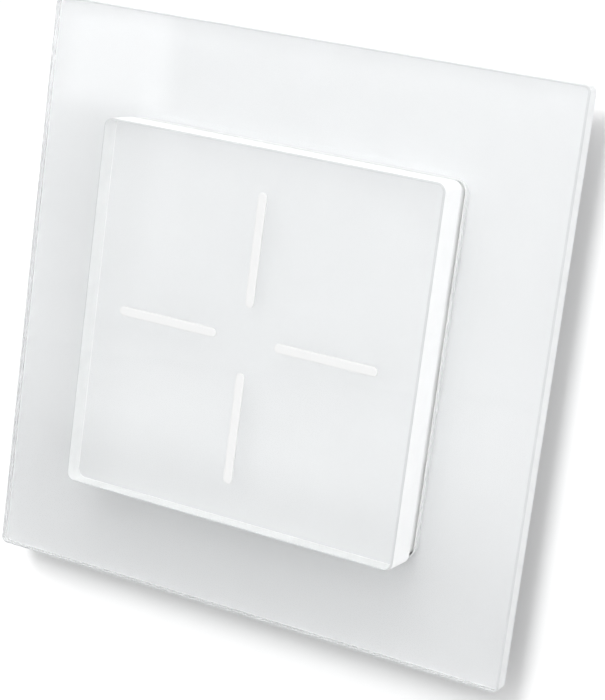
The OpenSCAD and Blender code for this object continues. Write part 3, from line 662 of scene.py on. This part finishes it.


# painted shade: the frame's coat darkens towards its bottom, the block's coat towards its bottom and its left
white_coat("frame_coat", (0.79, 0.792, 0.801), [(2, -8, -34, 0.1)])
white_coat("touch_coat", (0.806, 0.808, 0.817),
           [(2, 22, -10, 0.018), (2, -15, -27.5, 0.14), (0, -17, -27.5, 0.085)])
fired_enamel("white_enamel", (0.757, 0.757, 0.754))
print("coats and enamel ready")

# %% [markdown]
# ## Moulded plastic
# Moulded parts carry the fine spark texture of their mould, a faint cloudiness where the melt flowed, and a
# gloss that comes and goes with the texture.

# %% Plastics
def moulded(name, colour, roughness=0.42, texture_mm=0.16, depth_mm=0.012):
    """Plastic with the size and depth of its spark texture."""
    wire = new_finish(name)
    spot = place(wire)
    spark = noise(wire, spot, 1 / texture_mm, 2.0)
    flow = noise(wire, place(wire, (0.06, 0.02, 0.2), (0.3, 0.2, 0.5)), 1.0, 3.0)
    tint = flow.smooth(0.25, 0.75).blend(rgb(colour, 0.93), rgb(colour, 1.03))
    shader = wire.node("BsdfPrincipled", None, {
        "Base Color": tint, "Roughness": roughness - 0.1 + 0.2 * spark + 0.06 * flow,
        "Normal": bump(wire, spark, depth_mm)})
    close_finish(wire, shader)


moulded("white_plastic", (0.89, 0.895, 0.89))
moulded("light_grey_plastic", (0.62, 0.63, 0.63))
moulded("grey_plastic", (0.16, 0.16, 0.17))
moulded("black_plastic", (0.025, 0.025, 0.027))
moulded("cream_plastic", (0.72, 0.66, 0.5))
moulded("blue_plastic", (0.03, 0.1, 0.3), roughness=0.25, depth_mm=0.006)
moulded("yellow_plastic", (0.62, 0.46, 0.05), roughness=0.28, depth_mm=0.006)
moulded("black_resin", (0.02, 0.02, 0.022), roughness=0.5)
moulded("ceramic_chip", (0.45, 0.33, 0.2), roughness=0.35, texture_mm=0.05, depth_mm=0.004)
moulded("ferrite", (0.045, 0.045, 0.05), roughness=0.6, texture_mm=0.08, depth_mm=0.02)
print("finishes with the plastics", len(finishes))

# %% [markdown]
# ## Metals
# Sheet steel keeps the lines of the rolling mill under its zinc, and the zinc dries in small crystals.
# Yellow passivated screws shift between straw and a faint green. Brass and copper tarnish in soft clouds.

# %% Metals
def plated(name, colour, stain, roughness, streak=(0.3, 12, 12), crystal_mm=1.2, crystals=0.25):
    """Metal with rolling lines along the streak, clouds of stain, and crystals that show by a share."""
    wire = new_finish(name)
    spot = place(wire)
    lines = noise(wire, place(wire, streak), 1.0, 2.0)
    flake = wire.node("TexVoronoi", None, {"Vector": spot, "Scale": 1 / crystal_mm}, out="Color")
    facet = parts_of(wire, flake)[0]
    cloud = noise(wire, spot, 0.22, 4.0).smooth(0.35, 0.75)
    shade = cloud.blend(rgb(colour), rgb(stain))
    tint = (facet * crystals).blend(shade, rgb(colour, 1.25))
    shader = wire.node("BsdfPrincipled", None, {
        "Base Color": tint, "Metallic": 1.0,
        "Roughness": roughness + 0.12 * lines + 0.1 * cloud - 0.06 * facet,
        "Normal": bump(wire, lines + 0.3 * facet, 0.006)})
    close_finish(wire, shader)


plated("zinc_steel", (0.62, 0.63, 0.65), (0.5, 0.52, 0.55), 0.26)
plated("spring_steel", (0.55, 0.55, 0.54), (0.42, 0.4, 0.38), 0.2, crystals=0.05)
plated("screw_steel", (0.68, 0.6, 0.38), (0.55, 0.58, 0.46), 0.22, streak=(4, 4, 4), crystal_mm=0.5)
plated("relay_iron", (0.5, 0.5, 0.5), (0.4, 0.38, 0.36), 0.3)
plated("brass", (0.78, 0.58, 0.26), (0.58, 0.4, 0.17), 0.22, crystals=0.1)
plated("copper", (0.75, 0.38, 0.2), (0.5, 0.24, 0.13), 0.28, crystals=0.1)
print("finishes with the metals", len(finishes))

# %% [markdown]
# ## Boards, coil and cans
# A circuit board shows its copper tracks as paler lines under green lacquer. The plane is cut into small
# squares, a random number per square picks upright or level tracks, and bright pads sit on some middles.
# The coil's wire is a row of fine turns with painted shade in the grooves between them, and the cans have a
# bare metal top inside a dark sleeve.

# %% Board
def circuit_board(name, square=3.2, pitch=0.64, half_track=0.17, pad_r=0.6):
    """Green lacquer over tracks at a pitch, with squares of upright or level tracks and round pads, in mm."""
    wire = new_finish(name)
    x, _, z = parts_of(wire, place(wire))
    cell = wire.node("CombineXYZ", None, {
        "X": wire.math("FLOOR", x / square), "Y": wire.math("FLOOR", z / square)})
    draw = wire.node("TexWhiteNoise", {"noise_dimensions": "2D"}, {"Vector": cell}, out="Value")
    upright = draw > 0.5
    level_track = wire.math("PINGPONG", z, pitch / 2) < half_track
    upright_track = wire.math("PINGPONG", x, pitch / 2) < half_track
    track = upright * upright_track + (1 - upright) * level_track
    off_x = wire.math("PINGPONG", x, square / 2) - square / 2
    off_z = wire.math("PINGPONG", z, square / 2) - square / 2
    pad = ((off_x * off_x + off_z * off_z) < pad_r ** 2) * (draw > 0.62)
    lacquer = track.blend(rgb((0.012, 0.11, 0.045)), rgb((0.03, 0.22, 0.09)))
    shader = wire.node("BsdfPrincipled", None, {
        "Base Color": pad.blend(lacquer, rgb((0.72, 0.7, 0.66))), "Metallic": pad,
        "Roughness": 0.24 + 0.16 * pad + 0.08 * noise(wire, place(wire), 0.5),
        "Normal": bump(wire, track + pad, 0.03)})
    close_finish(wire, shader)


circuit_board("green_board")
print("board ready")


# %% Coil and cans
def wound_wire(name, half_turn=0.11):
    """Enamelled copper wire, one turn for each two half turns of depth, in mm. Its colour is painted darker in
    the groove between turns and lighter on each crest.
    """
    wire = new_finish(name)
    _, depth, _ = parts_of(wire, place(wire))
    turn = wire.math("PINGPONG", depth, half_turn) / half_turn
    # painted shade: dark copper where two turns meet, bright copper on the crest of each turn
    painted_groove_shade = turn.smooth(0.1, 0.7).blend(rgb((0.28, 0.1, 0.04)), rgb((0.72, 0.3, 0.12)))
    shader = wire.node("BsdfPrincipled", None, {
        "Base Color": painted_groove_shade, "Metallic": 0.7, "Roughness": 0.25 + 0.2 * (1 - turn), "Coat Weight": 0.4,
        "Normal": bump(wire, turn, 0.1)})
    close_finish(wire, shader)


def sleeved_can(name, rim_mm):
    """A dark sleeve that ends at the rim, with bare metal beyond it."""
    wire = new_finish(name)
    spot = place(wire)
    _, depth, _ = parts_of(wire, spot)
    bare = depth > rim_mm
    crease = noise(wire, spot, 0.8, 3.0)
    shader = wire.node("BsdfPrincipled", None, {
        "Base Color": bare.blend(rgb((0.02, 0.025, 0.05)), rgb((0.75, 0.75, 0.76))), "Metallic": bare,
        "Roughness": 0.3 + 0.15 * crease, "Normal": bump(wire, crease, 0.05)})
    close_finish(wire, shader)


BARE_TOP = 0.4
wound_wire("coil_wire")
sleeved_can("sleeved_can", solid_size("smoothing_capacitors")[1][1] - BARE_TOP)
print("finishes", len(finishes))

# %% [markdown]
# ## Hand out the finishes
# Every solid and every new piece takes the finish of its slot in the record. A few solids share a slot but
# not a look, such as the two white coats, so they are named one by one.

# %% Assign the finishes
own_finish = {"frame_film": "frame_coat", "frame_back_coat": "frame_coat",
              "touch_film": "touch_coat", "touch_back_coat": "touch_coat",
              "relay_coil": "coil_wire", "smoothing_capacitors": "sleeved_can"}


def dress(piece, finish):
    """Gives a piece one finish all over."""
    piece.data.materials.clear()
    piece.data.materials.append(finishes[finish])


for name, solid in solids.items():
    dress(solid, own_finish.get(name, slot_of_solid[name]))
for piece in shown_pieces():
    if "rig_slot" in piece and "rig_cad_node" not in piece:
        dress(piece, own_finish.get(piece.name, piece["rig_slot"]))


def finish_edges(piece, rows_of_finish):
    """Gives whole rows of faces round a glass plate a finish of their own."""
    row_of_face = np.arange(len(piece.data.polygons)) // OUTLINE_POINTS
    index = np.zeros(len(row_of_face), np.int32)
    for number, (finish, rows) in enumerate(rows_of_finish.items(), 1):
        piece.data.materials.append(finishes[finish])
        index[np.isin(row_of_face, rows)] = number
    piece.data.polygons.foreach_set("material_index", index)


front_round, wall_row, edge_rows = range(ROUND_STEPS), ROUND_STEPS, 2 * ROUND_STEPS + 1
finish_edges(touch_block, {"seamed_edge_painted_shade": front_round, "ground_edge": range(wall_row, edge_rows)})
finish_edges(frame_plate, {"seamed_edge_painted_shade": front_round, "frame_edge": [wall_row],
                           "lip_edge": range(edge_rows + 1, 2 * edge_rows + 1)})
print("dressed", len(solids), "solids")

# %% [markdown]
# ## Wall, floor and sky
# The switch hangs on a white wall. Only the patch of wall round the frame is needed, to catch its shadow: it
# fades out beyond it, it has a hole for the insert, and from behind it is clear, so that the back of the
# switch can be looked at too. The floor and the sky are white as the camera sees them, and also as it sees them
# mirrored in metal or through glass. What lights the switch is a softer sky, darker below than above.

# %% Wall patch and floor
def stage_piece(name, points, faces):
    """A mesh that belongs to the stage and not to the switch."""
    mesh = bpy.data.meshes.new(name)
    mesh.from_pydata((np.asarray(points, float).reshape(-1, 3) * MM).tolist(), [], faces)
    piece = bpy.data.objects.new(name, mesh)
    scene.collection.objects.link(piece)
    return piece


WALL_HOLE, WALL_SIDE, WALL_Y = 75.2, 150.0, 0.02
hole, _ = round_square(WALL_HOLE, 2.0)
edge, _ = round_square(WALL_SIDE, 20.0)
wall_points = np.stack([np.stack([o[:, 0], 0 * o[:, 0] + WALL_Y, o[:, 1]], -1) for o in (hole, edge)])
wall = stage_piece("wall_patch", wall_points, grid_faces(2, len(hole))[:, ::-1].tolist())
FLOOR_Z, FLOOR_HALF = -110.0, 600
floor_corners = [(FLOOR_HALF * x, FLOOR_HALF * y, FLOOR_Z) for x, y in ((-1, -1), (1, -1), (1, 1), (-1, 1))]
floor = stage_piece("floor", floor_corners, [(0, 1, 2, 3)])
print("wall faces", [round(n, 2) for n in wall.data.polygons[0].normal])


# %% Wall and floor finishes
def seen_ray(wire):
    """1 for what the camera sees, straight on, mirrored in metal or through glass.
    0 for light that has met a matt surface on its way, so that the white lights nothing."""
    path = wire.node("LightPath").socket.node
    straight, mirrored, through, matt = (Wire(wire.tree, path.outputs[kind]) for kind in (
        "Is Camera Ray", "Is Glossy Ray", "Is Transmission Ray", "Diffuse Depth"))
    return wire.math("MAXIMUM", straight, wire.math("MAXIMUM", mirrored, through)) * (matt < 0.5)


def pale_stage(name, colour, lift, spread):
    """A white diffuse surface that the camera sees a little lighter.
    It fades out at the spread, in millimetres from its middle, and is clear from behind."""
    wire = new_finish(name)
    surface = wire.node("BsdfDiffuse", None, {"Color": rgb(colour)})
    glow = wire.node("Emission", None, {"Color": seen_ray(wire).blend(BLACK, rgb((lift,) * 3))})
    shader = wire.node("AddShader", None, {0: surface, 1: glow})
    far = wire.node("VectorMath", {"operation": "LENGTH"}, {0: place(wire)}, out="Value")
    behind = wire.node("NewGeometry", out="Backfacing")
    gone = wire.math("MAXIMUM", far.smooth(0.8 * spread, spread), behind)
    clear = wire.node("BsdfTransparent")
    close_finish(wire, wire.node("MixShader", None, {0: gone, 1: shader, 2: clear}))


pale_stage("wall_paint", (0.7, 0.7, 0.7), 0.06, spread=74)
pale_stage("floor_paint", (0.6, 0.6, 0.6), 0.45, spread=520)
dress(wall, "wall_paint")
dress(floor, "floor_paint")
wall.visible_shadow = False
print("the wall catches a shadow and casts none")

# %% Sky
world = bpy.data.worlds.new("soft_studio")
scene.world = world
world.use_nodes = True
world.node_tree.nodes.clear()
sky = Wire(world.node_tree)
_, _, rise = parts_of(sky, sky.node("TexCoord", out="Generated"))
LOW_SKY, HIGH_SKY = (0.497, 0.502, 0.508), (1.037, 1.042, 1.048)
studio = rise.smooth(-0.6, 0.9).blend((*LOW_SKY, 1), (*HIGH_SKY, 1))
backdrop = sky.node("Background", None, {"Color": seen_ray(sky).blend(studio, WHITE)})
sky.node("OutputWorld", None, {"Surface": backdrop})
print("sky from", LOW_SKY, "below to", HIGH_SKY, "above")

# %% [markdown]
# ## Soft boxes
# A box near the camera lights the glass from the front, one above it leaves a shade under the block, and one
# at the right makes the block's wall shine. A small box at the left is there to be mirrored: it draws a bright
# window into the top left corner of the frame. The shadow on the wall falls to the lower right, so it has a
# box of its own from the upper left: light linking lets that box reach the wall alone.

# %% Lamps
SOFT_RIM = 0.25


def soft_box(name, spot, target, width, height, radiance):
    """A rectangular area lamp, full in its middle and fading to its edges.
    Its power is radiance times pi times its area."""
    lamp = bpy.data.lights.new(name, "AREA")
    lamp.shape, lamp.size, lamp.size_y = "RECTANGLE", width, height
    lamp.energy = radiance * math.pi * width * height
    lamp.use_nodes = True
    lamp.node_tree.nodes.clear()
    glow = Wire(lamp.node_tree)
    u, v, _ = parts_of(glow, glow.node("NewGeometry", out="Parametric"))
    fade = glow.math("PINGPONG", u, 0.5).smooth(0, SOFT_RIM) * glow.math("PINGPONG", v, 0.5).smooth(0, SOFT_RIM)
    glow.node("OutputLight", None, {"Surface": glow.node("Emission", None, {"Strength": fade})})
    holder = bpy.data.objects.new(name, lamp)
    aim = np.subtract(target, spot)
    z_axis = -aim / np.linalg.norm(aim)
    x_axis = np.cross((0, 0, 1), z_axis)
    x_axis /= np.linalg.norm(x_axis)
    y_axis = np.cross(z_axis, x_axis)
    holder.matrix_world = Matrix(
        [(x_axis[i], y_axis[i], z_axis[i], spot[i]) for i in range(3)] + [(0, 0, 0, 1)])
    scene.collection.objects.link(holder)
    return holder


def linked(lamp, piece, state):
    """Lets a lamp light this piece alone (INCLUDE), or everything but this piece (EXCLUDE)."""
    group = bpy.data.collections.new(lamp.name + "_receivers")
    group.objects.link(piece)
    group.collection_objects[0].light_linking.link_state = state
    lamp.light_linking.receiver_collection = group


MIDDLE, WINDOW_SPOT = (0, 0, 0), (-0.0288, -0.0065, 0.0347)
switch_boxes = {
    "key_box": ((0.1, -0.7, 0.15), MIDDLE, 0.4, 0.4, 4.1),
    "top_box": ((0.02, -0.36, 0.6), MIDDLE, 0.5, 0.35, 3.9),
    "right_box": ((0.68, -0.18, 0.14), MIDDLE, 0.35, 0.4, 3.9),
    "window_box": ((-0.302, -0.4265, -0.012), WINDOW_SPOT, 0.052, 0.048, 1.9),
}
for name, sizes in switch_boxes.items():
    linked(soft_box(name, *sizes), wall, "EXCLUDE")
linked(soft_box("shadow_box", (-0.17, -0.48, 0.54), MIDDLE, 0.42, 0.42, 22.0), wall, "INCLUDE")
soft_box("rear_box", (-0.35, 0.6, 0.4), MIDDLE, 0.5, 0.4, 3.9)
